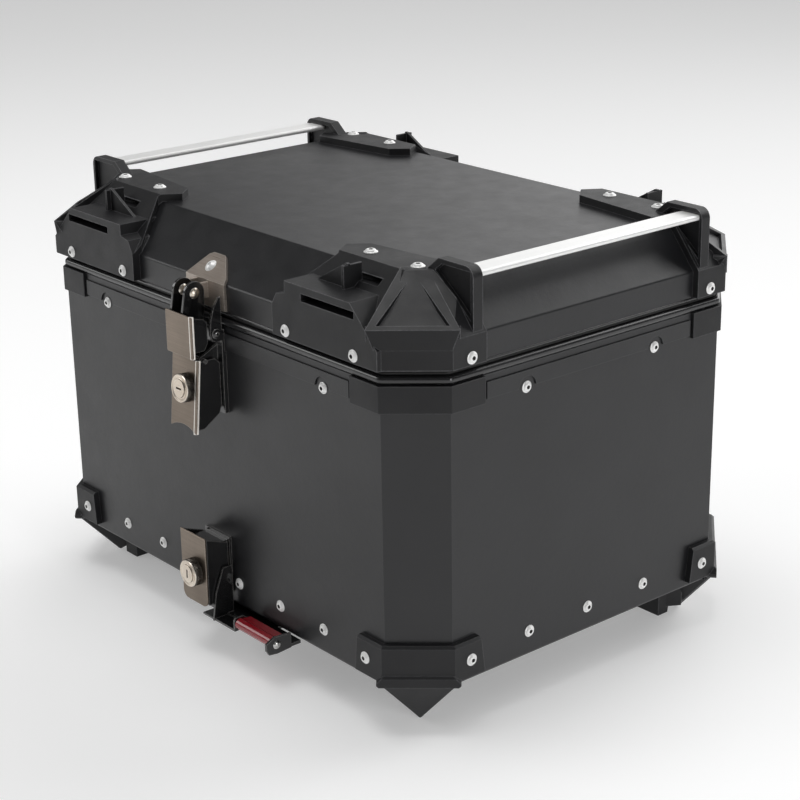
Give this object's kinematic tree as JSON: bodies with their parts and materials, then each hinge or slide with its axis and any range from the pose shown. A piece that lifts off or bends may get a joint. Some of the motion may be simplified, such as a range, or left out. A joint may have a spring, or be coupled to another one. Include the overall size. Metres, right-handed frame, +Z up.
{
  "type": "motorcycle top case",
  "caption": "Black aluminium top case for a motorcycle rack, with corner guards, lid rails, a front latch and a lower lock.",
  "frame": {"origin": "centre of the rack face, the underside of the base plate and of the feet", "axes": "+Z up, -Y towards the latch, +X to the right seen from the latch side"},
  "size_m": [0.4432, 0.3521, 0.3112],
  "materials": {
    "shell_black": "matte black powder coat on aluminium sheet",
    "guard_black": "matte black moulded plastic",
    "rim_black": "satin black coated aluminium profile",
    "seal_rubber": "soft black rubber",
    "mat_black": "fine ribbed rubber mat",
    "rivet_steel": "bright steel rivets and screws",
    "rail_silver": "satin anodised aluminium",
    "latch_bronze": "dark bronze satin plated steel",
    "latch_black": "gloss black coated steel",
    "lock_dark": "dark knurled metal",
    "lock_steel": "bright turned metal",
    "pin_steel": "plain steel",
    "lever_red": "glossy dark red plastic"
  },
  "bodies": {
    "case": {"base_plate": "guard_black", "base_screws": "rivet_steel", "cheek_pins": "latch_black", "collar_front_left": "guard_black", "collar_front_right": "guard_black", "collar_rear_left": "guard_black", "collar_rear_right": "guard_black", "floor_mat": "mat_black", "foot_front_left": "guard_black", "foot_front_right": "guard_black", "foot_rear_left": "guard_black", "foot_rear_right": "guard_black", "foot_rivets": "rivet_steel", "hinge_base_left": "latch_black", "hinge_base_right": "latch_black", "hinge_base_screws": "rivet_steel", "hinge_pin_left": "pin_steel", "hinge_pin_right": "pin_steel", "latch_base": "latch_black", "lower_lever_pin": "pin_steel", "lower_lock_base": "latch_black", "release_bracket": "latch_black", "release_pin": "pin_steel", "rim_seal": "seal_rubber", "strip_front": "shell_black", "strip_left": "shell_black", "strip_rear": "shell_black", "strip_right": "shell_black", "strip_rivets": "rivet_steel", "tub_rim": "rim_black", "tub_rivets": "rivet_steel", "tub_shell": "shell_black", "upper_lever_pin": "pin_steel"},
    "lid": {"lid_shell": "shell_black", "lid_frame": "rim_black", "guard_front_left": "guard_black", "guard_front_right": "guard_black", "guard_rear_left": "guard_black", "guard_rear_right": "guard_black", "guard_rivets": "rivet_steel", "guard_screws": "rivet_steel", "rail_left": "rail_silver", "rail_right": "rail_silver", "hasp_plate": "latch_bronze", "hasp_rivet": "rivet_steel", "pivot_rivets": "lock_steel", "hinge_leaf_left": "latch_black", "hinge_leaf_right": "latch_black", "hinge_leaf_screws": "rivet_steel"},
    "latch_cover": {"cover_plate": "latch_bronze", "cover_channel": "latch_black"},
    "upper_lever": {"upper_lever_plate": "latch_bronze", "upper_lever_channel": "latch_black", "upper_lock_ring": "lock_dark"},
    "upper_plug": {"upper_key_plug": "lock_steel"},
    "lower_lever": {"lower_lever_plate": "latch_bronze", "lower_lever_channel": "latch_black", "lower_lock_ring": "lock_dark"},
    "lower_plug": {"lower_key_plug": "lock_steel"},
    "release": {"release_lever": "lever_red"}
  },
  "joints": [
    {"name": "lid_hinge", "type": "hinge", "parent": "case", "child": "lid", "pos_m": [0, 0.162, 0.2476], "axis": [-1, 0, 0], "range_deg": [0, 95]},
    {"name": "cover_pivot", "type": "hinge", "parent": "lid", "child": "latch_cover", "pos_m": [0.0035, -0.169, 0.2626], "axis": [-1, 0, 0], "range_deg": [0, 95]},
    {"name": "upper_lever_pivot", "type": "hinge", "parent": "case", "child": "upper_lever", "pos_m": [0.0035, -0.1705, 0.2176], "axis": [-1, 0, 0], "range_deg": [0, 55]},
    {"name": "upper_key_turn", "type": "hinge", "parent": "upper_lever", "child": "upper_plug", "pos_m": [0.0065, -0.17884, 0.19828], "axis": [0, -0.996, 0.089], "range_deg": [0, 90]},
    {"name": "lower_lever_pivot", "type": "hinge", "parent": "case", "child": "lower_lever", "pos_m": [0.0015, -0.168, 0.0441], "axis": [1, 0, 0], "range_deg": [0, 35]},
    {"name": "lower_key_turn", "type": "hinge", "parent": "lower_lever", "child": "lower_plug", "pos_m": [0.0025, -0.178, 0.06], "axis": [0, -1, 0], "range_deg": [0, 90]},
    {"name": "release_pivot", "type": "hinge", "parent": "case", "child": "release", "pos_m": [0.0635, -0.17, 0.0316], "axis": [1, 0, 0], "range_deg": [0, 25], "stiffness_Nm_per_rad": 0.05, "springref_deg": -11.46}
  ]
}
